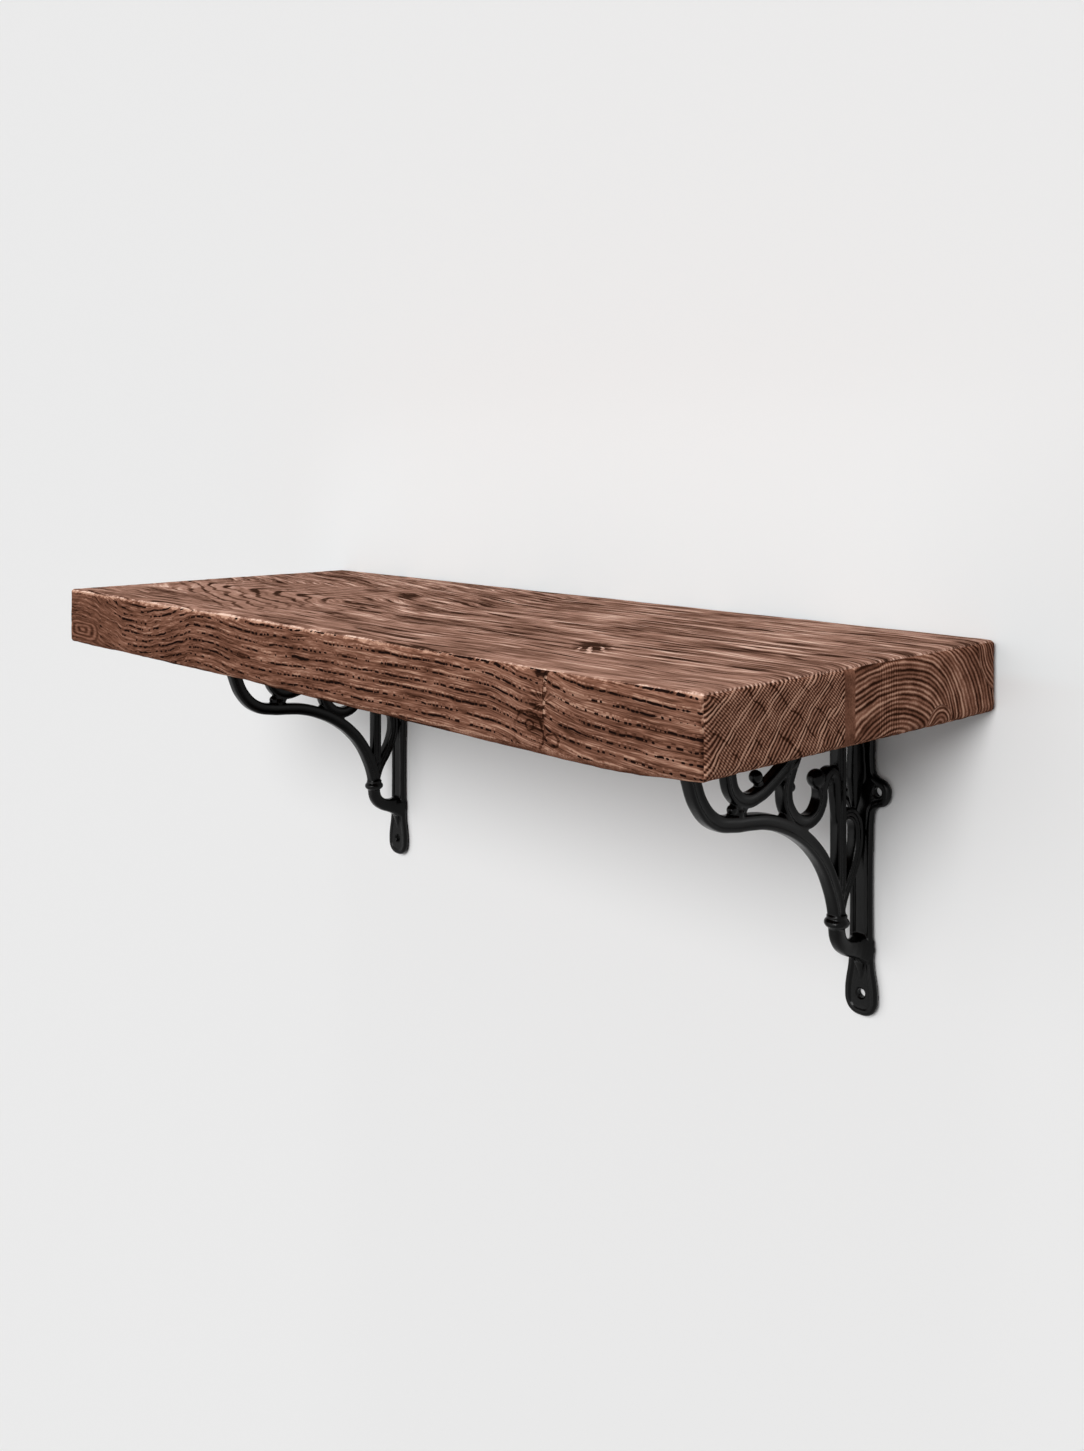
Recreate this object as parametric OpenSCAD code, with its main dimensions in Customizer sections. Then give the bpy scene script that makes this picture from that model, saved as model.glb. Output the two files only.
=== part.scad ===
// A rustic plank shelf on two cast iron scroll brackets.
// The origin is on the wall, at the middle of the board's back edge.
// X runs along the board, Y into the wall and Z up.
// A bracket is drawn in its own frame: u is the distance out from the wall,
// v is the height above the underside of the board, so v is negative.

/* [Board] */
// Length of the board along the wall
board_l = 600; // [400:10:1200]
// Depth of the board from the wall to its front edge
board_d = 240; // [210:5:320]
// Thickness of the board
board_t = 40; // [30:1:50]
// Radius of the worn edges of the board
board_edge_r = 2.4; // [1:0.2:5]

/* [Bracket] */
// From each end of the board to the middle of its bracket
bracket_inset = 83; // [50:1:160]
// How far the scrollwork stands out from the wall
scroll_reach = 157; // [120:1:180]
// How far below the board the foot of the scrollwork meets the wall plate
scroll_drop = 143; // [120:1:190]
// How far the arm under the board runs on past the scrollwork
arm_lug_l = 21; // [18:1:28]
// How far the wall plate runs on below that
wall_lug_l = 40; // [34:1:50]
// Thickness of the wall plate and of the arm
plate_t = 5.5; // [3.5:0.5:7]
// Width of the plates in the corner where they meet
plate_root_w = 17.5; // [15:0.5:22]
// Width of the plates at the waist between the ears and the end lug
plate_waist_w = 14.5; // [12:0.5:17]
// Width of the plates at the neck before the end lug
plate_neck_w = 16; // [13:0.5:18]
// Width of the round end lugs
lug_w = 21; // [18:0.2:25]

/* [Screw holes] */
// Distance between the holes of the two ears
ear_pitch = 22; // [20:0.5:26]
// Diameter of an ear
ear_d = 18; // [16:0.5:22]
// From the corner of the bracket to the ears, on each plate
ear_from_corner = 54; // [46:1:62]
// From the tip of an end lug to its hole
lug_hole_from_tip = 12.5; // [11.5:0.5:14]
// Diameter of the screw holes
hole_d = 5; // [4.6:0.1:6]
// Diameter of the countersinks
sink_d = 9.5; // [8:0.1:11]

/* [Scrollwork] */
// Thickness of the scrollwork from side to side
web_t = 7; // [5:0.5:10]
// Breadth of the big sweep that carries the front of the board
sweep_w = 8; // [6:0.2:9]
// Breadth of the upright bar
bar_w = 7; // [5:0.2:8]
// Breadth of the two C scrolls
scroll_w = 7.6; // [5:0.2:8.4]
// Diameter of the turned collar at the foot of the sweep
collar_d = 14; // [12:0.2:18]
// Height of that collar
collar_h = 6.6; // [5:0.2:9]
// Diameter of the ball that ends a C scroll
ball_d = 8.6; // [7:0.2:10]
// Diameter of a bead of the front knot
bead_d = 5.6; // [4:0.2:7]
// How far a bead sinks into the bar that it sits on
bead_bite = 1.2; // [0.6:0.1:2]

/* [Board screws] */
// Diameter of the screw shank
screw_d = 4.2; // [3:0.1:4.5]
// Length of a screw from its head to its point
screw_l = 25; // [20:1:30]
// Room between a screw and what it goes through
screw_gap = 0.05; // [0.02:0.01:0.1]

/* [Hidden] */
$fn = 48;

bracket_x = board_l / 2 - bracket_inset;
underside_z = -board_t / 2;
arm_l = scroll_reach + arm_lug_l;
wall_plate_l = scroll_drop + wall_lug_l;
seat = plate_t / 2;
ear_x = ear_pitch / 2;

// The strokes are drawn as [u, v, share of the breadth], with 1 where no share is given.
// The sweep runs from the front of the arm, round the front curl and down to the foot.
sweep_path = [
    [157, -seat], [154.6, -13], [150.6, -28], [144.6, -41], [134, -49.6], [121, -52.6], [107, -54.4],
    [92, -57.3], [77, -62.6], [62.4, -70.4], [49.8, -80.6], [40.2, -92.4], [33.4, -105],
    [28.8, -118, 0.95], [27.6, -128, 0.95], [26.2, -135], [21.4, -141, 1.1], [13, -144.4, 1.3],
    [seat, -145, 1.7]];
// The sheet that everything is drawn on is as wide as the sweep, and reaches down to its foot
sheet_u = sweep_path[0][0];
sheet_v = -sweep_path[len(sweep_path) - 1][1];

// The screws that hold one bracket to the board: [x, u] in the bracket's frame
arm_screws = [[-ear_x, ear_from_corner], [ear_x, ear_from_corner], [0, arm_l - lug_hole_from_tip]];
head_d = sink_d - 2 * screw_gap;
point_l = 6;
recess_w = 1;
recess_l = 5;
recess_deep = 1.3;

// Half outlines of a bar's section: across the stroke, and out from the middle plane
rounded_bar = [[1, 0.42], [0.55, 1]];
reeded_bar = [[1, 0.5], [0.62, 1], [0, 0.66]];

function mirrored(half) = concat(
    half,
    [for (i = [len(half) - 1:-1:0]) if (half[i][0] > 0) [-half[i][0], half[i][1]]],
    [for (q = half) [-q[0], -q[1]]],
    [for (i = [len(half) - 1:-1:0]) if (half[i][0] > 0) [half[i][0], -half[i][1]]]);

// A point drawn on the sheet, moved to the bracket's own size
function on_bracket(p) = [p[0] * scroll_reach / sheet_u, p[1] * scroll_drop / sheet_v,
                          len(p) > 2 ? p[2] : 1];

// A smooth line through the points of a stroke, with steps points on each stretch
function between(a, b, c, d, t) = 0.5 * (2 * b + (c - a) * t
    + (2 * a - 5 * b + 4 * c - d) * t * t + (3 * b - a - 3 * c + d) * t * t * t);
function smooth(c, steps) = concat(
    [for (i = [0:len(c) - 2]) for (k = [0:steps - 1])
        between(c[max(i - 1, 0)], c[i], c[i + 1], c[min(i + 2, len(c) - 1)], k / steps)],
    [c[len(c) - 1]]);

// A closed body over rings of n points each, clockwise as seen from outside the first ring
module skin(rings, n) {
    last = len(rings) - n;
    sides = [for (a = [0:n:last - n]) for (k = [0:n - 1])
        let (b = (k + 1) % n)
        each [[a + k, a + k + n, a + b], [a + b, a + k + n, a + b + n]]];
    polyhedron(rings, concat(sides, [[for (k = [0:n - 1]) k], [for (k = [n - 1:-1:0]) last + k]]));
}

// One bar of the casting: the section follows the line, as broad as its share says
module stroke(points, breadth, section, thick, steps = 3) {
    line = smooth([for (p = points) on_bracket(p)], steps);
    rim = mirrored(section);
    last = len(line) - 1;
    rings = [for (i = [0:last])
        let (d = line[min(i + 1, last)] - line[max(i - 1, 0)], s = norm([d[0], d[1]]))
        for (q = rim) [q[1] * thick / 2,
                       -(line[i][0] + d[1] / s * q[0] * line[i][2] * breadth / 2),
                       line[i][1] - d[0] / s * q[0] * line[i][2] * breadth / 2]];
    skin(rings, len(rim));
}

// A ball of the casting, off millimetres away from a point of the sheet
module ball(at, off, d) {
    p = on_bracket(at);
    translate([0, -(p[0] + off[0]), p[1] + off[1]]) sphere(d = d);
}

// The outline of a plate of length l, with a waist, two ears and a round end lug
module plate_outline(l) {
    lug_r = lug_w / 2;
    edge = [[plate_root_w / 2, 0], [plate_root_w / 2, 0.36 * l], [plate_waist_w / 2, 0.6 * l],
            [plate_waist_w / 2, 0.68 * l], [plate_neck_w / 2, l - 1.6 * lug_w],
            [lug_r * 0.96, l - lug_r * 1.25]];
    polygon(concat(edge, [[0, l - lug_r]],
                   [for (i = [len(edge) - 1:-1:0]) [-edge[i][0], edge[i][1]]]));
    translate([0, l - lug_r]) circle(r = lug_r);
    for (side = [-1, 1]) translate([side * ear_x, ear_from_corner]) circle(d = ear_d);
}

// A plate of length l lying in XY, its countersinks opening upwards
module plate(l) {
    sink_h = (sink_d - hole_d) / 2;
    difference() {
        linear_extrude(plate_t) plate_outline(l);
        for (h = [[-ear_x, ear_from_corner], [ear_x, ear_from_corner], [0, l - lug_hole_from_tip]])
            translate([h[0], h[1], 0]) {
                translate([0, 0, -1]) cylinder(d = hole_d, h = plate_t + 2);
                translate([0, 0, plate_t - sink_h]) cylinder(d1 = hole_d, d2 = sink_d, h = sink_h);
            }
    }
}

// The turned collar where the sweep, the bar and the leaf come together
module collar() {
    p = on_bracket([27.6, -126.6]);
    r = collar_d / 2;
    ring_r = 0.76 * r;
    translate([0, -p[0], p[1]]) {
        rotate_extrude()
            polygon([[0, -collar_h / 2], [0.72 * r, -collar_h / 2], [0.94 * r, -0.3 * collar_h], [r, 0],
                     [0.94 * r, 0.3 * collar_h], [0.72 * r, collar_h / 2], [0, collar_h / 2]]);
        translate([0, 0, collar_h / 2 - 0.2]) cylinder(r = ring_r, h = 2.2);
    }
}

// The boss that the sweep's foot spreads into, with a ridge down to the lug of the wall plate
module foot_boss() {
    half = plate_neck_w / 2 - 1.2;
    rim = [[0, 13], [-0.62 * half, 10], [-half, 0], [-0.62 * half, -8], [0, -21],
           [0.62 * half, -8], [half, 0], [0.62 * half, 10]];
    translate([0, -seat, -scroll_drop])
        skin([for (level = [[1, 0], [0.66, 1]]) for (q = rim)
                  [q[0] * level[0], -level[1] * plate_t, q[1] * level[0]]], len(rim));
}

// The openwork between the arm and the wall plate.
// Each stroke is a little thinner than the one that it springs from.
module scrollwork() {
    stroke(sweep_path, sweep_w, rounded_bar, web_t);
    // the upright bar, reeded on both faces
    stroke([[26, -seat], [26, -55], [26, -104], [26.6, -122, 0.9]], bar_w, reeded_bar, web_t * 0.9, 2);
    // the leaf that leaves the foot, leans on the wall plate and closes on the bar
    stroke([[25.5, -120, 0.8], [21.5, -109], [14.6, -98, 1.15], [9.2, -86.5, 1.2], [7.4, -76, 1.1],
            [12, -69.6, 0.9], [19, -68.4, 0.75], [25, -71, 0.6]], bar_w, rounded_bar, web_t * 0.82);
    // the pointed tongue that hangs in the corner
    stroke([[8.4, -seat, 1.2], [8.4, -20], [8.6, -34, 1.2], [8.6, -48, 1.35], [8.6, -59, 0.8],
            [8.8, -67.5, 0.25]], bar_w, rounded_bar, web_t * 0.76, 2);
    // the great C scroll, bowl down, from the arm round to its ball
    stroke([[60.6, -seat, 1.1], [62, -13], [66.6, -25], [73.2, -35.6], [76.5, -47], [71.6, -59],
            [59.6, -64.2], [47.6, -59], [42.4, -49], [44.6, -42.6, 0.8]],
           scroll_w, rounded_bar, web_t * 0.94);
    ball([44.6, -42.6], [0.8, 0.4], ball_d);
    inner_bead = bead_d * 0.8;
    ball([76, -44.6], [bead_bite - (scroll_w + inner_bead) / 2, 0], inner_bead);
    // the hook that ties the great scroll to the bar
    stroke([[41.6, -51, 0.7], [38.8, -45.6, 0.75], [33.6, -43.4, 0.8], [28.8, -46, 0.8], [26.6, -53, 0.7]],
           scroll_w, rounded_bar, web_t * 0.7);
    // the little C scroll over the knot, which tapers off into the great one
    stroke([[122.6, -seat, 1.1], [124, -14], [122.6, -27], [118.4, -37], [109.6, -41.6, 0.95],
            [99, -40.6, 0.9], [89, -36, 0.85], [79, -30, 0.75], [67.5, -25.5, 0.6]],
           scroll_w, rounded_bar, web_t * 0.86);
    stroke([[97, -38], [99.4, -35], [101.4, -33.6]], scroll_w * 0.6, rounded_bar, web_t * 0.6, 1);
    ball([101.4, -33.6], [0, 0], ball_d * 0.74);
    // the knot of beads that ties the little scroll to the sweep
    knot = [115.7, -53.3];
    low_bead = bead_d * 1.2;
    low_v = (sweep_w + low_bead) / 2 - 2.4 * bead_bite;
    ball(knot, [0, low_v], low_bead);
    for (side = [-1, 1]) ball(knot, [side * bead_d * 0.66, low_v + bead_d * 0.46], bead_d);
    ball(knot, [0, low_v + bead_d * 0.86], bead_d);
}

module bracket() {
    color("#1b1b1c") translate([0, 0, underside_z]) {
        rotate([90, 0, 0]) mirror([0, 1, 0]) plate(wall_plate_l);
        foot_boss();
        rotate([180, 0, 0]) plate(arm_l);
        scrollwork();
        collar();
    }
}

// A countersunk wood screw standing on its point's end, its head face at z = 0 looking down
module wood_screw() {
    head_h = (head_d - screw_d) / 2;
    difference() {
        rotate_extrude() polygon([[0, 0], [head_d / 2, 0], [screw_d / 2, head_h],
                                  [screw_d / 2, screw_l - point_l], [0, screw_l]]);
        for (turn = [0, 90]) rotate(turn)
            translate([-recess_l / 2, -recess_w / 2, -1]) cube([recess_l, recess_w, recess_deep + 1]);
    }
}

module board_screws() {
    color("#26262a") translate([0, 0, underside_z - plate_t])
        for (s = arm_screws) translate([s[0], -s[1], 0]) wood_screw();
}

// The corners of a w by h rectangle, rounded with a few short flats
function worn_rectangle(w, h, r) = [for (q = [[1, 1, 0], [-1, 1, 90], [-1, -1, 180], [1, -1, 270]])
    for (a = [0:30:90]) [q[0] * (w / 2 - r) + r * cos(q[2] + a), q[1] * (h / 2 - r) + r * sin(q[2] + a)]];

module shelf_board() {
    r = board_edge_r;
    color("#7a4f3f") difference() {
        translate([0, -board_d / 2, 0]) intersection() {
            rotate([90, 0, 90]) linear_extrude(board_l, center = true)
                polygon(worn_rectangle(board_d, board_t, r));
            linear_extrude(board_t, center = true) polygon(worn_rectangle(board_l, board_d, r));
            rotate([90, 0, 0]) linear_extrude(board_d, center = true)
                polygon(worn_rectangle(board_l, board_t, r));
        }
        // the pilot holes that the screws are driven into
        for (x = [-bracket_x, bracket_x]) for (s = arm_screws)
            translate([x + s[0], -s[1], underside_z - 1])
                cylinder(d = screw_d + 2 * screw_gap, h = screw_l - plate_t + 1.5);
    }
}

module left_bracket() translate([-bracket_x, 0, 0]) bracket();
module right_bracket() translate([bracket_x, 0, 0]) bracket();
module left_board_screws() translate([-bracket_x, 0, 0]) board_screws();
module right_board_screws() translate([bracket_x, 0, 0]) board_screws();

shelf_board();
left_bracket();
right_bracket();
left_board_screws();
right_board_screws();
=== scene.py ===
# A rustic wall shelf: a stained plank on two cast iron scroll brackets.
# Everything is in metres: X along the wall, Y into it, Z up, from the back edge of the plank.
import math

import bmesh
import bpy
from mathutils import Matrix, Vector


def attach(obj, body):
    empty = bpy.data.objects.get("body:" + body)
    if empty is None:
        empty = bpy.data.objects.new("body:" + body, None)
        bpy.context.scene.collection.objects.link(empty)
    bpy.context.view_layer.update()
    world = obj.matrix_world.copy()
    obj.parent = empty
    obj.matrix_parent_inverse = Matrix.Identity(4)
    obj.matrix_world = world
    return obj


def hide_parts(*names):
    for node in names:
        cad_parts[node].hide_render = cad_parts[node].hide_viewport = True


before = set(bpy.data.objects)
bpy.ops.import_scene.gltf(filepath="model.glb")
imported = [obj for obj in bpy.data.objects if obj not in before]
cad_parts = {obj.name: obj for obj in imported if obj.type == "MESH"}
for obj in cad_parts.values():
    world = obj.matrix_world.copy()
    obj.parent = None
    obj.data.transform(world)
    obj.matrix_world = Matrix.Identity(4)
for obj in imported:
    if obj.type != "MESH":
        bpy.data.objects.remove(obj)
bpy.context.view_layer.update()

# ---------------------------------------------------------------- camera
# The view of the photograph: level, from the right and a little above the plank.
# The lens shift only moves the frame down, which keeps the uprights parallel.
camera = bpy.data.objects.new("camera", bpy.data.cameras.new("camera"))
bpy.context.scene.collection.objects.link(camera)
camera.location = (0.6656, -0.6747, 0.118)
camera.rotation_euler = (math.radians(90), 0, math.radians(46.79))
camera.data.lens = 34.19
camera.data.shift_y = -0.18815
camera.data.clip_start = 0.01
bpy.context.scene.camera = camera
bpy.context.scene.view_settings.view_transform = "Standard"


# ---------------------------------------------------------------- wall and light
# A plain, pale painted wall behind the shelf. It lets a camera behind it see through.
class Wire:
    """A shader socket that takes part in Python sums: each operator adds its Math node."""

    def __init__(self, finish, socket):
        self.finish, self.socket = finish, socket

    def maths(self, operation, *others):
        return self.finish.node("Math", {"operation": operation}, [self, *others])

    def __add__(self, other):
        return self.maths("ADD", other)

    def __sub__(self, other):
        return self.maths("SUBTRACT", other)

    def __rsub__(self, other):
        return self.finish.node("Math", {"operation": "SUBTRACT"}, [other, self])

    def __mul__(self, other):
        return self.maths("MULTIPLY", other)

    def __truediv__(self, other):
        return self.maths("DIVIDE", other)

    def __pow__(self, other):
        return self.maths("POWER", other)

    def __neg__(self):
        return self * -1

    def __abs__(self):
        return self.maths("ABSOLUTE")

    __radd__, __rmul__ = __add__, __mul__

    def wave(self, length):
        """From -1 to 1 and back along the value, once in every length."""
        return (self * (2 * math.pi / length)).maths("SINE")


class Finish:
    """The node tree of one material, or of the world."""

    def __init__(self, owner):
        owner.use_nodes = True
        self.owner, self.tree = owner, owner.node_tree
        self.tree.nodes.clear()

    def node(self, kind, settings=None, sockets=None, out=0):
        made = self.tree.nodes.new("ShaderNode" + kind)
        for name, value in (settings or {}).items():
            if name == "stops":
                ramp = made.color_ramp.elements
                while len(ramp) < len(value):
                    ramp.new(1)
                for stop, (place, colour) in zip(ramp, value):
                    stop.position, stop.color = place, (*colour, 1)
            elif name == "curve":
                line = made.mapping.curves[0].points
                while len(line) < len(value):
                    line.new(1, 1)
                for point, place in zip(line, value):
                    point.location = place
                made.mapping.update()
            else:
                setattr(made, name, value)
        pairs = sockets.items() if isinstance(sockets, dict) else enumerate(sockets or [])
        for name, value in pairs:
            if isinstance(value, Wire):
                self.tree.links.new(value.socket, made.inputs[name])
            else:
                made.inputs[name].default_value = value
        return Wire(self, made.outputs[out]) if made.outputs else self.owner

    def place(self):
        """The point on the piece, as three numbers in millimetres."""
        point = self.node("TexCoord", out="Object")
        return [self.node("SeparateXYZ", sockets=[point], out=axis) * 1000 for axis in "XYZ"]

    def noise(self, x, y, z, detail=2.0, roughness=0.5):
        at = self.node("CombineXYZ", sockets=[x, y, z])
        return self.node("TexNoise", sockets={
            "Vector": at, "Scale": 1.0, "Detail": detail, "Roughness": roughness})

    def rise(self, value, low, high):
        """0 below low, 1 above high and a soft step between; it falls where low is the greater."""
        return self.node("MapRange", {"interpolation_type": "SMOOTHSTEP"}, [value, low, high])

    def oval(self, a, b, centre, radii):
        """How far the point (a, b) is from the centre, with 1 on the oval of these radii."""
        return (((a - centre[0]) / radii[0]) ** 2 + ((b - centre[1]) / radii[1]) ** 2) ** 0.5

    def mix(self, share, first, second, blend="MIX"):
        return self.node("Mix", {"data_type": "RGBA", "blend_type": blend},
                         {0: share, 6: first, 7: second}, out=2)

    def profile(self, value, points):
        """A smooth curve through points (value, result), level beyond its ends."""
        low, span = points[0][0], points[-1][0] - points[0][0]
        least = min(b for a, b in points)
        reach = max(b for a, b in points) - least
        curve = [((a - low) / span, (b - least) / reach) for a, b in points]
        drawn = self.node("FloatCurve", {"curve": curve}, {"Value": (value - low) / span})
        return drawn * reach + least

    def ramp(self, value, stops):
        return self.node("ValToRGB", {"stops": stops}, [value])

    def surface(self, shader):
        return self.node("OutputMaterial", sockets=[shader])


def grey(level):
    return (level, level, level, 1)


paint = Finish(bpy.data.materials.new("wall_paint"))
behind = paint.node("NewGeometry", out="Backfacing")
along, up, out = paint.place()
# painted light: the wall is painted a little brighter and cooler over the plank, against the shade
# that the plank casts there and the brown light that its top throws
painted_light_over_plank = paint.rise(up, 190, -20) * paint.rise(abs(along), 390, 220) * paint.rise(up, -5, 5)
matt = paint.node("BsdfDiffuse", sockets={
    "Color": paint.mix(painted_light_over_plank, grey(0.83), (0.885, 0.93, 0.945, 1))})
clear = paint.node("BsdfTransparent")
wall_paint = paint.surface(paint.node("MixShader", sockets=[behind, matt, clear]))

bpy.ops.object.select_all(action="DESELECT")
bpy.ops.mesh.primitive_plane_add(size=8, location=(0, 0.0006, 0), rotation=(math.radians(90), 0, 0))
wall = bpy.context.object
wall.name = "wall"
wall.data.materials.append(wall_paint)

world = bpy.data.worlds.new("studio")
bpy.context.scene.world = world
sky = Finish(world)
seen = [sky.node("LightPath", out=kind)
        for kind in ("Is Camera Ray", "Is Glossy Ray", "Is Transmission Ray")]
lit = sky.node("Background", sockets={"Color": grey(1.0), "Strength": 0.15})
shown = sky.node("Background", sockets={"Color": grey(0.83), "Strength": 1.0})
share = (seen[0] + seen[1]).maths("MAXIMUM", seen[2])
both = sky.node("MixShader", sockets=[share, lit, shown])
sky.node("OutputWorld", sockets=[both])

# three suns: how each is turned, its energy, and how wide it is, in degrees
for name, turn, energy, spread in (("key", (67, 0, 18), 1.95, 26),
                                   ("fill", (86, 0, -15), 0.95, 62),
                                   ("overhead", (0, 0, 0), 1.5, 14)):
    lamp = bpy.data.objects.new(name, bpy.data.lights.new(name, "SUN"))
    lamp.rotation_euler = [math.radians(a) for a in turn]
    lamp.data.energy = energy
    lamp.data.angle = math.radians(spread)
    bpy.context.scene.collection.objects.link(lamp)


# ---------------------------------------------------------------- plank
# One solid plank of brown stained wood, sawn, brushed and waxed. Its arrises are worn
# and chipped by hand, and open pores run along the grain in dashed rows.
PLANK = Vector((0.6, 0.24, 0.04))
ARRIS = 0.003


def only(obj, mode="OBJECT"):
    """Makes one piece the only selected and active one, and goes into the mode."""
    if bpy.context.mode != "OBJECT":
        bpy.ops.object.mode_set(mode="OBJECT")
    bpy.ops.object.select_all(action="DESELECT")
    obj.select_set(True)
    bpy.context.view_layer.objects.active = obj
    if mode != "OBJECT":
        bpy.ops.object.mode_set(mode=mode)


def pick_edges(test):
    """In edit mode, selects the edges whose two ends pass the test, and nothing else."""
    bpy.ops.mesh.select_mode(type="EDGE")
    bpy.ops.mesh.select_all(action="DESELECT")
    mesh = bmesh.from_edit_mesh(bpy.context.object.data)
    for edge in mesh.edges:
        a, b = (v.co for v in edge.verts)
        edge.select_set(test(a, b))
    mesh.select_flush_mode()
    bmesh.update_edit_mesh(bpy.context.object.data)


bpy.ops.object.select_all(action="DESELECT")
bpy.ops.mesh.primitive_cube_add(size=1, location=(0, -PLANK.y / 2, 0), scale=PLANK)
plank = bpy.context.object
plank.name = "shelf_plank"
bpy.ops.object.transform_apply(location=True, rotation=False, scale=True)
only(plank, "EDIT")
bpy.ops.mesh.select_all(action="SELECT")
bpy.ops.mesh.bevel(offset=ARRIS, segments=5, profile=0.5, affect="EDGES")
for axis, cuts in ((0, 299), (1, 79), (2, 14)):
    pick_edges(lambda a, b: abs(a[axis] - b[axis]) > 0.8 * PLANK[axis])
    bpy.ops.mesh.subdivide(number_cuts=cuts)
bpy.ops.mesh.select_all(action="SELECT")
bpy.ops.mesh.remove_doubles(threshold=1e-6)
bpy.ops.mesh.normals_make_consistent(inside=False)
bpy.ops.object.mode_set(mode="OBJECT")

# vertex groups: the arrises, the lower right corner, which is worn away, and the front
# edge, whose sawn underside hangs lower towards the right
SAG = ((-0.3, 0), (-0.06, 0), (0, 0.35), (0.09, 0.62), (0.16, 0.85), (0.225, 1), (0.24, 1),
       (0.262, 0.65), (0.3, 0))


def sag_at(along):
    """How much of the full sag the front edge has at a distance from its middle."""
    for (x0, a), (x1, b) in zip(SAG, SAG[1:]):
        if x0 <= along <= x1:
            return a + (b - a) * (along - x0) / (x1 - x0)
    return 0.0


worn = plank.vertex_groups.new(name="arris")
blunt = plank.vertex_groups.new(name="corner")
sagged = plank.vertex_groups.new(name="front edge")
for v in plank.data.vertices:
    off = sorted((abs(v.co.x) - PLANK.x / 2, abs(v.co.y + PLANK.y / 2) - PLANK.y / 2,
                  abs(v.co.z) - PLANK.z / 2))
    near = max(0.0, 1 + off[1] / (1.6 * ARRIS))
    low, lip = 0.5 - v.co.z / PLANK.z, max(0.0, 1 - (v.co.y + PLANK.y) / 0.055)
    lift = (low * max(0.0, 1 - (PLANK.x / 2 - v.co.x) / 0.035)
            * max(0.0, 1 - (v.co.y + PLANK.y) / 0.2))
    droop = (0.35 + 0.65 * low) * lip * sag_at(v.co.x)
    for group, weight in ((worn, near), (blunt, lift), (sagged, droop)):
        if weight > 0:
            group.add([v.index], min(weight, 1), "REPLACE")

furrow = bpy.data.objects.new("furrow", None)
bpy.context.scene.collection.objects.link(furrow)
furrow.scale = (0.05, 0.006, 0.006)
for name, kind, size, strength, group, along in (
        ("hollows", "CLOUDS", 0.07, 0.0006, "", None),
        ("furrows", "CLOUDS", 1.0, 0.0004, "", furrow),
        ("chips", "CLOUDS", 0.005, 0.0015, "arris", None),
        ("dents", "CLOUDS", 0.024, 0.0016, "arris", None)):
    pattern = bpy.data.textures.new(name, kind)
    pattern.noise_scale = size
    pattern.noise_depth = 2
    relief = plank.modifiers.new(name, "DISPLACE")
    relief.texture = pattern
    relief.strength = strength
    relief.mid_level = 1.0
    relief.vertex_group = group
    relief.texture_coords = "OBJECT" if along else "LOCAL"
    relief.texture_coords_object = along
for group, rise in (("corner", 0.0012), ("front edge", -0.0034)):
    moved = plank.modifiers.new(group, "DISPLACE")
    moved.direction, moved.strength, moved.mid_level, moved.vertex_group = "Z", rise, 0, group
only(plank)
bpy.context.view_layer.update()
for name in [m.name for m in plank.modifiers]:
    bpy.ops.object.modifier_apply(modifier=name)
bpy.data.objects.remove(furrow)
bpy.ops.object.shade_smooth()

# The finish is drawn in millimetres on the three kinds of face. Tone runs from 0, dark, to
# 1, pale; pores and knots are laid over it.
wood = Finish(bpy.data.materials.new("stained_plank"))
x, y, z = wood.place()
# how near the point is to each pair of faces: the greatest of the three names its face
half = PLANK * 500
end_gap = abs(x) - half.x
side_gap = abs(y + half.y) - half.y
flat_gap = abs(z) - half.z
on_end = wood.rise(end_gap - side_gap.maths("MAXIMUM", flat_gap), -0.3, 0.3)
on_side = wood.rise(side_gap - end_gap.maths("MAXIMUM", flat_gap), -0.3, 0.3)
second = end_gap.maths("MAXIMUM", side_gap.maths("MAXIMUM", flat_gap))
middle = (end_gap + side_gap + flat_gap - second
          - end_gap.maths("MINIMUM", side_gap.maths("MINIMUM", flat_gap)))
worn_off = wood.noise(x / 5, y / 5, z / 5, 3, 0.6)
upper = wood.rise(z, 0, 4)
front = wood.rise(y, -235, -239)
arris = wood.rise(middle + 6.5 * (worn_off - 0.5) + 0.8 * upper * front, -3.0, -1.2)
far = wood.rise(x, 250, -300)
blot = wood.noise(x / 60, y / 40, z / 16, 2)
speck = wood.noise(x / 1.1, y / 1.1, z / 1.1, 2, 0.7)

# front and back: rows of pores that rise and fall with the wave of the grain, and start
# anew beyond the knot at u = 211. Lengths on these faces are u along and w up.
u = x + 14 - 14 * (x / 300) ** 2
w = z * (0.99 - 0.00015 * x) + 0.0047 * x - 1.2
before = [(-300, 0), (-265, 0), (-245, -4), (-220, -8), (-190, -12), (-160, -9.5), (-140, -6),
          (-120, -2), (-100, 1), (-60, -2), (-30, -3.5), (0, -3), (30, -2), (165, -2),
          (185, -4), (200, -7), (211, -8)]
beyond = [(211, 5), (218, 3), (228, 1), (240, -0.5), (270, -2), (300, -3)]
past = wood.rise(u, 210.9, 211.1)
sway = wood.profile(u, before) * (1 - past) + wood.profile(u, beyond) * past
drift = wood.noise(u / 30, y / 40, w / 10, 2)
grain = w - sway + (3 + 2.5 * wood.rise(u, -120, -180)) * (drift - 0.5)
pitch = 5.2 - 1.3 * wood.rise(u, -60, -160)
rows = grain / pitch
row = rows.maths("FLOOR")
off_row = (rows - row - 0.5) * pitch
near_row = abs(off_row + 1.1 * (wood.noise(u / 5, row * 7.7, y / 50, 1) - 0.5))
broken = wood.noise(u / (2.1 + 1.5 * far), row * 5.1, y / 50, 1)
spell = wood.noise(u / 24, row * 3.3, y / 50, 1)
smooth_left = wood.rise(u, -185, -250)
dash = (broken - 0.46 + 0.55 * (spell - 0.5) - 0.15 * smooth_left - 0.03 * far) * 6
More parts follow.
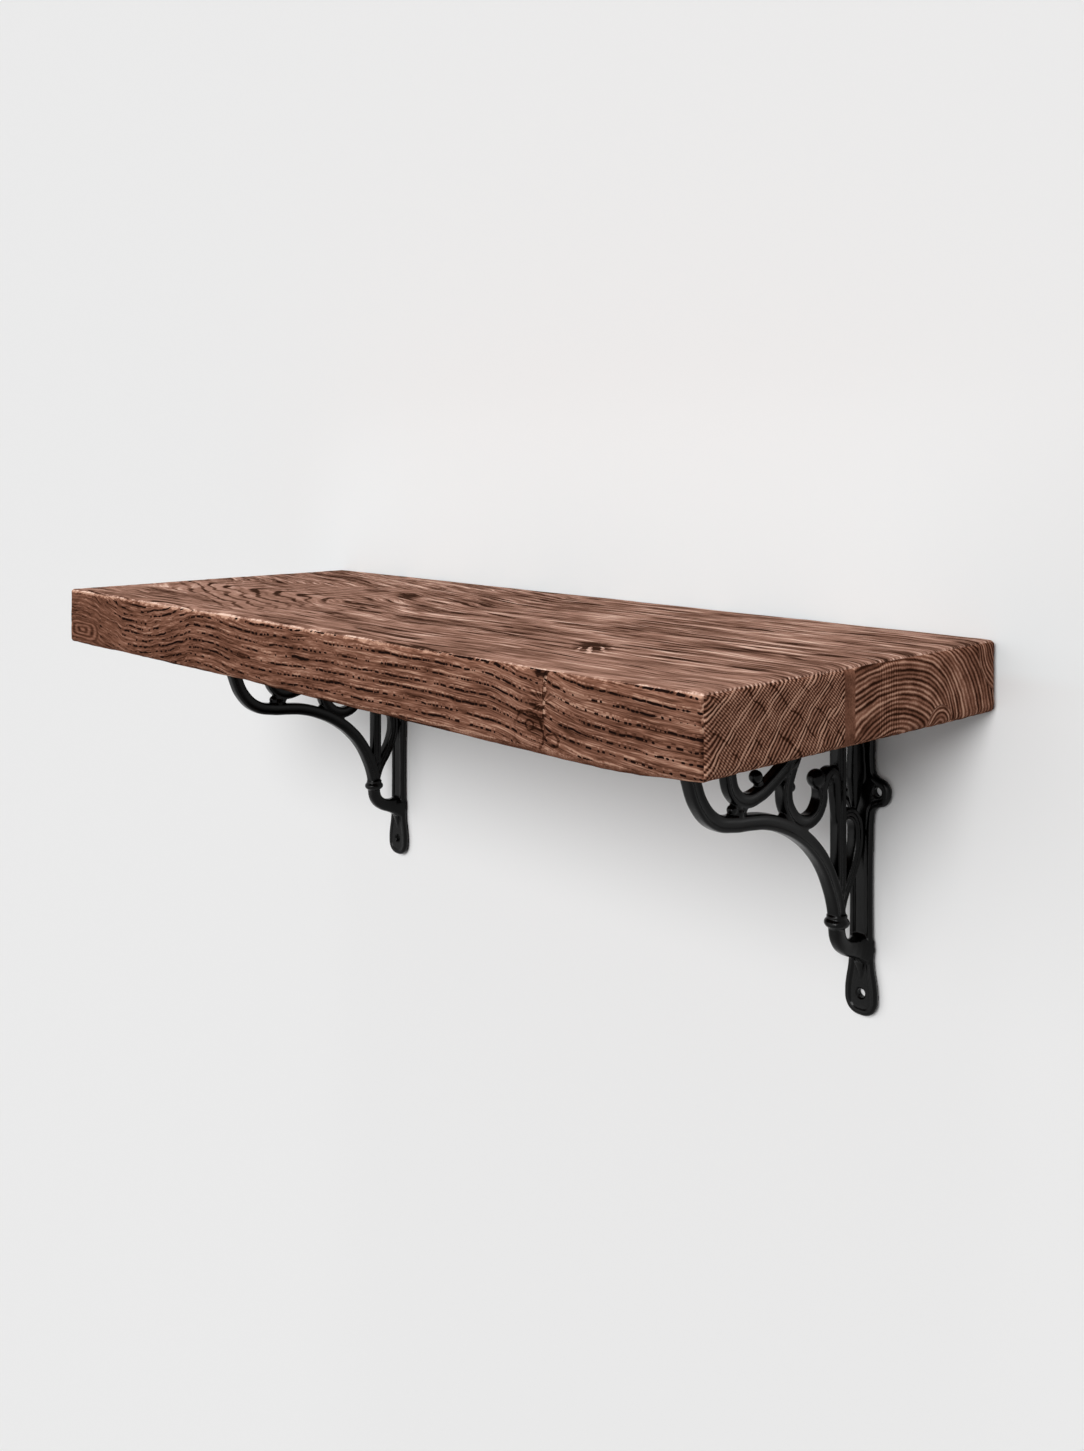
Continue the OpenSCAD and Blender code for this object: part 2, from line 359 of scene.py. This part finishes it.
wide = 0.5 + 0.14 * far
pores_side = wood.rise(near_row - dash.maths("MINIMUM", wide), 0.1, -0.1)
# painted shade: a darker band along each row of pores, and a painted highlight on the lower lip
# beside it
painted_groove_shade = wood.rise(near_row, 1.3 + 0.4 * far, 0.2) * wood.rise(spell, 0.38, 0.58)
lip = wood.rise(abs(off_row - 1.3 - 0.3 * far), 0.6, 0.1) * wood.rise(broken, 0.42, 0.6)
fibre_side = wood.noise(u / 11, y / 9, grain / (0.5 + 0.4 * far), 2, 0.7)
streak_side = wood.noise(u / 36, y / 34, grain / 1.7, 3, 0.6)
# fine dark lines that run on, mostly in the wave at the left
thin = abs(wood.noise(u / 60, y / 50, grain / 1.6, 1) - 0.5)
here_and_there = wood.noise(u / 20, y / 50, grain / 4, 1)
lines = wood.rise(thin, 0.035, 0.008) * wood.rise(here_and_there, 0.44, 0.56)
lively = 1.35 - 0.35 * far
# the front and back are darker, with less contrast, towards the left end
tone_side = 0.595 - 0.10 * far + lively * (
    (0.95 - 0.4 * smooth_left) * (fibre_side - 0.5)
    + 1.15 * (streak_side - 0.5) + 0.45 * (blot - 0.5)
    - (0.17 - 0.08 * far) * painted_groove_shade + 0.20 * lip - (0.12 + 0.22 * smooth_left) * lines)
relief_side = tone_side - 1.3 * pores_side
# the flat eye in the lower left corner
eye = (((u + 275) / 26) ** 4 + ((w + 11.5) / 7) ** 4) ** 0.25 + 0.3 * (drift - 0.5)
in_eye = wood.rise(eye, 1.1, 0.9)
eye_rings = (eye * 18 + 2 * (blot - 0.5)).maths("SINE") * 0.2 + 0.44
tone_side = tone_side + in_eye * (eye_rings + 0.8 * (fibre_side - 0.5) - tone_side)
pores_side = pores_side * (1 - in_eye)
# the knot of the front: a blotch, a fan of rays, a fissure with pale stitches, curls at its
# foot and a chip out of the arris over it
blotch = wood.rise(wood.oval(u, w, (206, -7), (7, 8)) + 1.9 * (worn_off - 0.5), 1.25, 0.3)
fan = wood.rise(wood.oval(u, w, (208, 3), (11, 7)) + 1.2 * (worn_off - 0.5), 1.25, 0.3)
rays = ((w - 2).maths("ARCTAN2", u - 210) * 17 + 2 * drift).maths("SINE")
split = u - 211 - 0.05 * (w - 4) - 2.5 * (drift - 0.5) - 1.2 * (worn_off - 0.5)
crack = wood.rise(abs(split), 1.5, 0.3) * wood.rise(w + 14 * (blot - 0.5), -10, -4)
stitch = wood.rise(abs(split - 0.3), 1.0, 0.5) * wood.rise(
    (w * 1.3 + 8 * worn_off).maths("SINE"), 0.0, 0.4) * wood.rise(abs(w - 4.5), 10.5, 9)
shaky = 3.4 * (worn_off - 0.5) + 1.6 * (drift - 0.5)
curl = abs((((u - 202) / 1.15) ** 2 + (w + 9) ** 2) ** 0.5 - 2.4 - shaky)
veil = abs((((u - 201) / 1.3) ** 2 + ((w + 12) / 1.2) ** 2) ** 0.5 - 7.5 - shaky)
lobe = abs((((u - 216) / 1.6) ** 2 + (w + 13.5) ** 2) ** 0.5 - 2.4 - shaky)
chip = wood.rise(wood.oval(u, w, (208, 17), (5, 4)) + 1.3 * (worn_off - 0.5), 1.15, 0.8)
ink = wood.rise(curl.maths("MINIMUM", lobe.maths("MINIMUM", veil)), 0.75, 0.2)
ink = ink * wood.rise(u, 190, 197)
knot_side = front * (
    0.3 * blotch + 0.32 * fan * (1 + rays) + 0.5 * crack + 0.7 * ink + 0.8 * chip)
tone_side = tone_side - 0.55 * knot_side.maths("MINIMUM", 1) + 1.7 * front * stitch
pores_side = pores_side * (1 - front * fan.maths("MAXIMUM", blotch))
pores_side = pores_side.maths("MAXIMUM", 0.6 * front * chip)
# darker along the rounded corner where the front and back turn into each end
tone_side = tone_side - 0.34 * wood.rise(abs(x), 295.5, 298.5)

# top and underside: long streaks, slanting over the left half
slant = 0.24 * x.maths("MINIMUM", 0) * wood.rise(y, -230, -110)
sag = wood.noise(x / 70, y / 30, z / 30, 2)
lie = y + slant + 14 * (sag - 0.5)
fibre_top = wood.noise(x / 24, lie / 1.4, z / 9, 3, 0.7)
streak_top = wood.noise(x / 66, lie / 3.6, z / 9, 3, 0.65)
cloud_top = wood.noise(x / 60, lie / 16, z / 9, 2)
calm = 1 - 0.22 * wood.rise(y, -165, -215)
hull = y + 143 + 10 * (drift - 0.5) + 14 * (sag - 0.5)
arch = x - 3 * (hull ** 2 + 50) ** 0.5 + 34 * (sag - 0.5) + 14 * (drift - 0.5)
in_arch = wood.rise(arch, -370, -320) * wood.rise(x, -50, -130)
quiet = calm * (1 - 0.6 * in_arch)
tone_top = 0.51 - 0.03 * calm + quiet * (
    1.35 * (fibre_top - 0.5) + 1.7 * (streak_top - 0.5) + 0.9 * (cloud_top - 0.5))
# checks, where the grain has opened, and the pale threads between them
thread = wood.noise(x / 60, lie / 4.2, 31.7, 2)
patchy = wood.noise(x / 45, lie / 20, 8.1, 1)
checks = wood.rise(thread, 0.42, 0.37) * wood.rise(patchy, 0.38, 0.52)
threads = wood.rise(thread, 0.60, 0.68)
tone_top = tone_top + quiet * (0.22 * threads - 0.5 * checks)
# the nested arches at the left, each darkest at its apex
arches = wood.rise(arch.wave(29), 0.3, 0.95)
apex = 0.5 * streak_top + 0.14 + 0.26 * wood.rise(abs(hull), 16, 2)
tone_top = tone_top - in_arch * (arches * apex - 0.1)
relief_top = tone_top
# dark streaks, each along a line from point to point, and how broad it is; the one from (84, -125)
# to (118, -120) is painted shade on the front side of the crack beside it
dark_top = None
for (x0, y0), (x1, y1), breadth, depth in (
        ((-300, -44), (-150, -40), 11, 0.3), ((-150, -86), (-110, -90), 7, 0.4),
        ((-262, -110), (-165, -126), 4, 0.35), ((-155, -132), (-128, -125), 3, 0.5),
        ((-88, -149), (-38, -148), 3.4, 0.85), ((-46, -122), (-16, -123), 3.2, 0.6),
        ((23, -119), (63, -128), 3.8, 0.75), ((76, -120), (126, -119), 3.6, 0.9),
        ((84, -125), (118, -120), 6, 0.5), ((114, -110), (160, -117), 2.8, 0.75),
        ((156, -117), (203, -112), 2.6, 0.6), ((225, -97), (244, -89), 2.8, 0.6),
        ((256, -119), (292, -113), 3.6, 0.95), ((257, -131), (276, -137), 2.8, 0.6)):
    share = (x - x0) / (x1 - x0)
    stray = abs(y - y0 - share * (y1 - y0) + 6 * (sag - 0.5) + 5 * (streak_top - 0.5))
    line = wood.rise(stray + (share * 2 - 1) ** 2 * breadth, breadth, breadth * 0.3) * depth
    dark_top = line if dark_top is None else dark_top.maths("MAXIMUM", line)
# the two knots, with a fan of pale splinters in the nearer one
spin = (x - 175) * 0.707 - (y + 178) * 0.707
across = (x - 175) * 0.707 + (y + 178) * 0.707
knot_a = wood.rise(
    ((spin / 23) ** 2 + (across / 11) ** 2) ** 0.5 + 1.2 * (worn_off - 0.5), 1.15, 0.35)
fanned = (across.maths("ARCTAN2", spin + 26) * 34 + 7 * worn_off).maths("SINE")
splinter = wood.rise(fanned, 0.3, 0.9) * wood.rise(spin, -4, 4) * knot_a
knot_b = wood.oval(x, y + 0.6 * (x + 86), (-86, -94), (18, 11))
knot_b = wood.rise(knot_b + 1.6 * (streak_top - 0.5), 1.3, 0.1)
dark_top = dark_top.maths("MAXIMUM", 0.85 * knot_a.maths("MAXIMUM", knot_b))
tone_top = tone_top - upper * (0.6 * dark_top - 0.9 * splinter)

# ends: curved ridges of the rings with a fine saw hatch across them in the front part
z = z * 0.97
near_end = wood.rise(y, -134, -140)
patch = wood.noise(y / 8, z / 8, 1.7, 1)
warp = wood.noise(y / 20, z / 20, 5.5, 2)
arc = y - 0.62 * (z + 20) - 0.012 * (z + 20) ** 2 + 6 * (warp - 0.5)
fine = (z + 0.8 * y + 3 * (warp - 0.5)).wave(1.55)
ribs = arc.wave(3.1)
hatched = wood.rise(patch, 0.40, 0.52)
pairs = wood.rise((arc * (2 * math.pi / 19) + 6 * (warp - 0.5)).maths("SINE"), 0.45, 0.9)
slash = wood.rise((
    (z + 0.85 * y) * (2 * math.pi / 16) + 5 * warp + 1.5 * patch).maths("SINE"), 0.93, 1.0)
slash = slash * wood.rise(patch, 0.56, 0.44)
tone_near = (0.42 + 0.22 * fine * hatched + ribs * (0.34 - 0.14 * hatched)
             + pairs * (0.20 + 0.22 * ribs) - 0.35 * slash)
# the far part: flattened rings, a small nest of arcs under them and a bowl at the back
dy = y + 98
squash = 1.75 - 0.4 * wood.rise(y, -75, -40)
oval = ((dy / squash) ** 2 + (z + 26) ** 2) ** 0.5
nest = ((y + 57) ** 2 + (z + 21) ** 2) ** 0.5
bowl = ((y - 7) ** 2 + (z - 18) ** 2) ** 0.5
in_nest, in_bowl = wood.rise(nest, 13, 12.4), wood.rise(bowl, 27.5, 26.5)
rings = oval + in_nest * (nest - oval)
rings = rings + in_bowl * (bowl - rings) + 3.4 * (warp - 0.5)
weight = wood.noise(rings / 2.4, y / 50, z / 50, 1)
rayed = y.wave(2.1) * wood.rise(abs(y + 103), 11, 7)
tone_far = 0.43 + 0.24 * rings.wave(2.3) + 1.1 * (weight - 0.5) + 0.12 * rayed
tone_end = tone_far + near_end * (tone_near - tone_far)
plain = wood.rise(abs(y + 135.5), 4.5, 3.8)
tone_end = tone_end + plain * (0.40 - tone_end)
# on the end: specks and patches, and darker along the corners where it turns into the front and
# back
tone_end = (0.01 + 1.14 * tone_end + 0.55 * (speck - 0.5) + 0.5 * (patch - 0.5)
            - 0.2 * wood.rise(abs(y + 120), 116, 119.5))

tone = tone_top + on_side * (tone_side - tone_top)
tone = tone + on_end * (tone_end - tone)
pores = on_side * (1 - on_end) * pores_side
# pale chips along the arrises, most of all on the one between top and front, and the saw's
# teeth on the one between top and end
ticks = (y - 0.6 * z).wave(2.9) * wood.rise(x, 296, 298) * wood.rise(y, -128, -140)
edge = wood.rise(middle, -3.4, -1.6)
tone = tone + arris * (0.12 + 0.42 * upper * front + 1.0 * (speck - 0.5)) * (1 - on_end)
tone = tone + 0.4 * ticks * edge * upper
colour = wood.ramp(tone, [(0.06, (0.024, 0.009, 0.005)), (0.24, (0.068, 0.027, 0.016)),
                          (0.40, (0.125, 0.053, 0.033)), (0.54, (0.185, 0.082, 0.052)),
                          (0.70, (0.265, 0.126, 0.084)), (0.98, (0.50, 0.29, 0.205))])
colour = wood.mix(pores, colour, (0.011, 0.005, 0.004, 1))
# painted light: the top face is painted lighter and paler, standing in for the light that falls on
# it from above and for its sheen
painted_top_light = (1 - on_side) * (1 - on_end) * upper
colour = wood.mix(painted_top_light, colour, (1.58, 1.93, 2.2, 1), "MULTIPLY")
height = relief_top + on_side * (relief_side - relief_top)
height = height + on_end * (tone_end - height)
bump = wood.node("Bump", sockets={"Strength": 0.8, "Distance": 0.0005, "Height": height})
rough = 0.62 + 0.2 * (tone - 0.5)
oiled = wood.node("BsdfPrincipled", sockets={
    "Base Color": colour, "Roughness": rough, "Normal": bump, "Specular IOR Level": 0.0})
plank.data.materials.append(wood.surface(oiled))
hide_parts("shelf_board")
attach(plank, "root")

# ---------------------------------------------------------------- brackets
# Two black cast iron brackets, each one casting: a wall plate and an arm with raised rims,
# and openwork of scrolls between them. The strokes are drawn as curves, then run together
# as molten iron does, and the countersunk holes are drilled last.
BRACKET_X, UNDERSIDE = 0.217, -0.020
PLATE_T = 0.0055
INTO_ROOM, DOWN = Vector((0, -1, 0)), Vector((0, 0, -1))
# each plate: its length in mm, the turn that lays its drawing in place, the way that its
# good side faces, and the way that it runs from the corner
WALL_PLATE = (183, (-90, 0, 0), INTO_ROOM, DOWN)
ARM = (178, (180, 0, 0), DOWN, INTO_ROOM)
casting = []


def cast(obj, turn=(0, 0, 0), at=(0, 0, 0)):
    """Sets a finished shape in its place as a plain mesh, as one more part of the casting."""
    only(obj)
    obj.rotation_euler = [math.radians(a) for a in turn]
    obj.location = (BRACKET_X + at[0], at[1], UNDERSIDE + at[2])
    if obj.type != "MESH":
        bpy.ops.object.convert(target="MESH")
    bpy.ops.object.transform_apply(location=True, rotation=True, scale=True)
    casting.append(bpy.context.object)
    return bpy.context.object


def line_through(points, closed=False):
    """A smooth curve through points in millimetres; a third number swells or thins it there."""
    data = bpy.data.curves.new("line", "CURVE")
    data.dimensions = "2D"
    data.resolution_u = 8
    spline = data.splines.new("BEZIER")
    spline.bezier_points.add(len(points) - 1)
    for knot, point in zip(spline.bezier_points, points):
        knot.co = (point[0] / 1000, point[1] / 1000, 0)
        knot.radius = point[2] if len(point) > 2 else 1
        knot.handle_left_type = knot.handle_right_type = "AUTO"
    spline.use_cyclic_u = closed
    obj = bpy.data.objects.new("line", data)
    bpy.context.scene.collection.objects.link(obj)
    return obj


def section_of(half, breadth, thick):
    """The section of a stroke, from a quarter of it: across, and out from the middle."""
    ring = (half + [(-a, b) for a, b in reversed(half)] + [(-a, -b) for a, b in half]
            + [(a, -b) for a, b in reversed(half)])
    data = bpy.data.curves.new("section", "CURVE")
    spline = data.splines.new("POLY")
    spline.points.add(len(ring) - 1)
    for knot, (a, b) in zip(spline.points, ring):
        knot.co = (a * breadth / 2000, b * thick / 2000, 0, 1)
    spline.use_cyclic_u = True
    obj = bpy.data.objects.new("section", data)
    bpy.context.scene.collection.objects.link(obj)
    return obj


def stroke(points, breadth, thick, half):
    obj = line_through(points)
    section = section_of(half, breadth, thick)
    obj.data.bevel_mode = "OBJECT"
    obj.data.bevel_object = section
    obj.data.use_fill_caps = True
    # the sheet of the drawing stands on the wall, with its X pointing into the room
    made = cast(obj, (90, 0, -90))
    bpy.data.objects.remove(section)
    return made


def ball(u, v, size, squash=1.0):
    bpy.ops.object.select_all(action="DESELECT")
    bpy.ops.mesh.primitive_uv_sphere_add(segments=32, ring_count=16, radius=size / 2000)
    bpy.context.object.scale = (1, 1, squash)
    return cast(bpy.context.object, at=(0, -u / 1000, v / 1000))


# a plate's outline from the corner down to the tip of its lug: half widths and distances
def plate_line(length, inset=0.0):
    half = [(8.7, 2), (8.75, 24), (8.75, 40), (9.4, 43.4), (12, 45.5), (15.8, 46.9), (18.5, 50),
            (19.4, 54), (18.5, 58), (15.8, 61.1), (12, 62.5), (9.1, 65.2), (8.3, 69.5), (7.8, 80),
            (7.3, length - 84), (7.2, length - 66), (7.4, length - 48), (7.8, length - 34),
            (8.5, length - 26.5), (9.8, length - 19.5), (10.5, length - 12.5), (9.6, length - 5.4),
            (6, length - 1.3)]
    ring = half + [(0, length)] + [(-a, b) for a, b in reversed(half)]
    drawn = []
    for before, here, after in zip(ring[-1:] + ring[:-1], ring, ring[1:] + ring[:1]):
        away = Vector((after[1] - before[1], before[0] - after[0])).normalized() * inset
        drawn.append((here[0] - away.x, here[1] - away.y))
    return drawn


def plate(length, turn, out, along):
    """A panel with rounded rims that stand above it on its good side."""
    panel = line_through(plate_line(length, 1.0), closed=True)
    panel.data.fill_mode = "BOTH"
    panel.data.extrude = 0.0021
    rim = line_through(plate_line(length, 2.1), closed=True)
    rim.data.bevel_depth = 0.0022
    rim.data.bevel_resolution = 5
    rim.data.fill_mode = "NONE"
    cast(panel, turn, out * 0.0021)
    cast(rim, turn, out * 0.0032)


plate(*WALL_PLATE)
plate(*ARM)

ROUND = [(1, 0.3), (0.93, 0.62), (0.74, 0.86), (0.42, 0.97), (0.12, 1)]
DISHED = [(1, 0.45), (0.97, 0.72), (0.86, 0.93), (0.68, 1), (0.5, 0.93), (0.3, 0.78), (0.1, 0.74)]
REEDED = [(1, 0.4), (0.95, 0.78), (0.8, 1), (0.62, 0.98), (0.46, 0.68), (0.3, 0.66),
          (0.14, 0.86), (0.04, 0.9)]
# the sweep that carries the front of the arm, and its foot that spreads over the plate
stroke([(157, -1), (155.2, -13), (151.6, -26), (145.6, -38.6), (134.8, -48.4), (120, -52.4),
        (107, -53.8), (94, -55.8), (77, -61.5), (62.4, -69.2), (49.8, -79), (40.2, -90),
        (33.4, -102), (28.8, -113.5, 1.02), (27, -122, 1)], 8.6, 8.0, DISHED)
stroke([(27, -120, 1), (27.4, -128, 1), (25.4, -135, 1), (19.6, -140.2, 1.02),
        (14, -142.2, 1.12), (10, -143.2, 1.3), (7, -143.8, 1.6), (4.6, -144.2, 1.9),
        (2.4, -144.4, 2.1)], 8.8, 8.2, ROUND)
# the ridge from the foot down to the lug
stroke([(5.5, -143, 1.1), (4.8, -151, 0.8), (3.6, -161, 0.25)], 6.5, 8.6, ROUND)
# the upright bar
stroke([(26, -1), (26, -50), (26, -98), (26.4, -112, 0.9), (26.8, -121, 0.8)], 7.4, 7.2, REEDED)
# the leaf that leans on the plate and closes on the bar
stroke([(26.4, -121, 0.8), (23, -110.5, 0.9), (16.6, -100, 1), (11.2, -89.5, 1), (9.1, -79, 1),
        (11, -69.6, 0.95), (16.8, -65.2, 0.85), (24, -66.6, 0.7)], 7.4, 7.4, REEDED)
# the tongue that hangs in the corner
stroke([(9.4, -1, 1.15), (9.2, -18, 1), (9.4, -32, 1.2), (9.6, -46, 1.4), (9.8, -57, 0.9),
        (10, -66.5, 0.3)],
       7.4, 6.2, ROUND)
# the great C scroll with its ball, its inner bead, and the hook that ties it to the bar
stroke([(60.6, -1, 1.1), (62, -12), (66.4, -23), (72.6, -33.4), (76, -44.6), (72.4, -54.6),
        (62.6, -61.8, 1.02), (51.8, -61.6), (45, -55.4), (43.6, -48, 0.95), (45.4, -43, 0.9)],
       8.0, 7.4, DISHED)
ball(46.6, -41, 10.8)
ball(70.8, -41.6, 6.4)
stroke([(42, -50, 0.7), (41, -44.4, 0.85), (38.9, -40.4, 0.9), (35.3, -38.8, 0.9),
        (31.8, -40.2, 0.9), (29.8, -44.2, 0.9), (29, -52, 0.85), (28.2, -62, 0.75),
        (27.4, -76, 0.4)], 6.8, 8.6, ROUND)
ball(35.4, -44, 5.8)
# the little C scroll, which runs into the great one, and its ball
stroke([(122.6, -1, 1.15), (124.2, -14), (123.4, -26), (119.6, -36.6), (110.4, -42), (99, -41),
        (88.6, -36.8), (79, -31.6), (68.5, -25.6, 1.15)], 7.8, 7.0, DISHED)
stroke([(96.5, -38, 0.9), (97.8, -35.4, 0.8), (99, -33, 0.7)], 6.4, 5.8, ROUND)
ball(100, -31.6, 7.6)
# the knot of beads between the little scroll and the sweep
for u, v, size in ((115.6, -48.4, 8.0), (111.2, -46.4, 5.8), (119.4, -45.6, 6.0),
                   (115.6, -43.6, 6.0)):
    ball(u, v, size)
# webs of iron that fill the crotches
for u, v, size in ((30.4, -106, 6.5), (23.6, -105, 6.0), (76.5, -57.6, 6.6), (63, -64.6, 6.6),
                   (69, -61.6, 6.4)):
    ball(u, v, size)
# the turned collar: a fat bead with a thin shoulder over it
ball(27.3, -124.5, 14.4, 0.54)
ball(27.1, -120.9, 12.0, 0.3)

only(casting[0])
for shape in casting:
    shape.select_set(True)
bpy.ops.object.join()
iron_right = bpy.context.object
iron_right.name = "right_scroll_bracket"
for kind, settings in (("REMESH", {"mode": "VOXEL", "voxel_size": 0.0005}),
                       ("SMOOTH", {"factor": 0.5, "iterations": 4}),
                       ("DECIMATE", {"ratio": 0.42})):
    step = iron_right.modifiers.new(kind, kind)
    for name, value in settings.items():
        setattr(step, name, value)
    bpy.ops.object.modifier_apply(modifier=kind)
# the back of the wall plate lies flat on the wall, and the top of the arm under the plank
for v in iron_right.data.vertices:
    v.co.y, v.co.z = min(v.co.y, 0), min(v.co.z, UNDERSIDE)

# the screw holes, with countersinks that open to the side that shows
EAR_X, EAR_DOWN, LUG_HOLE = 0.011, 0.054, 0.0125
BORE = (-0.001, PLATE_T + 0.002, 0.0026, 0.0026)
SINK = (PLATE_T - 0.00225, PLATE_T + 0.001, 0.0025, 0.00575)
drills = []
for length, turn, out, along in (WALL_PLATE, ARM):
    for across, down in ((-EAR_X, EAR_DOWN), (EAR_X, EAR_DOWN), (0, length / 1000 - LUG_HOLE)):
        foot = Vector((BRACKET_X + across, 0, UNDERSIDE)) + along * down
        for low, top, r_low, r_top in (BORE, SINK):
            bpy.ops.object.select_all(action="DESELECT")
            bpy.ops.mesh.primitive_cone_add(
                vertices=48, radius1=r_low, radius2=r_top, depth=top - low,
                location=foot + out * (low + top) / 2,
                rotation=out.to_track_quat("Z", "Y").to_euler())
            drills.append(bpy.context.object)
for drill in drills:
    cut = iron_right.modifiers.new("drill", "BOOLEAN")
    cut.object = drill
    cut.operation = "DIFFERENCE"
    only(iron_right)
    bpy.ops.object.modifier_apply(modifier="drill")
    bpy.data.objects.remove(drill)
bpy.ops.object.shade_smooth_by_angle(angle=math.radians(40))

iron = Finish(bpy.data.materials.new("black_cast_iron"))
x, y, z = iron.place()
grit = iron.noise(x / 0.5, y / 0.5, z / 0.5, 2)
tone = iron.noise(x / 9, y / 9, z / 9, 3)
colour = iron.ramp(tone, [(0.3, (0.0003, 0.0003, 0.0003)), (0.7, (0.0011, 0.001, 0.001))])
bump = iron.node("Bump", sockets={"Strength": 0.25, "Distance": 0.0003, "Height": grit})
coated = iron.node("BsdfPrincipled", sockets={
    "Base Color": colour, "Roughness": 0.2 + 0.2 * (tone - 0.5), "Normal": bump,
    "Specular IOR Level": 0.13})
iron_right.data.materials.clear()
iron_right.data.materials.append(iron.surface(coated))

only(iron_right)
bpy.ops.object.duplicate()
iron_left = bpy.context.object
iron_left.name = "left_scroll_bracket"
iron_left.location.x = -2 * BRACKET_X
bpy.ops.object.transform_apply(location=True, rotation=False, scale=False)
for obj, node in ((iron_left, "left_bracket"), (iron_right, "right_bracket")):
    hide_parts(node)
    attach(obj, "root")

# ---------------------------------------------------------------- screws
# The six wood screws under the arms, of blackened steel
steel = Finish(bpy.data.materials.new("dark_screw_steel"))
x, y, z = steel.place()
tone = steel.noise(x / 1.4, y / 1.4, z / 1.4, 3)
colour = steel.ramp(tone, [(0.3, (0.035, 0.033, 0.031)), (0.7, (0.085, 0.08, 0.075))])
bump = steel.node("Bump", sockets={"Strength": 0.2, "Distance": 0.0002, "Height": tone})
blued = steel.node("BsdfPrincipled", sockets={
    "Base Color": colour, "Metallic": 1.0, "Roughness": 0.36 + 0.3 * (tone - 0.5), "Normal": bump})
screw_finish = steel.surface(blued)
for name in ("left_board_screws", "right_board_screws"):
    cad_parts[name].data.materials.clear()
    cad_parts[name].data.materials.append(screw_finish)
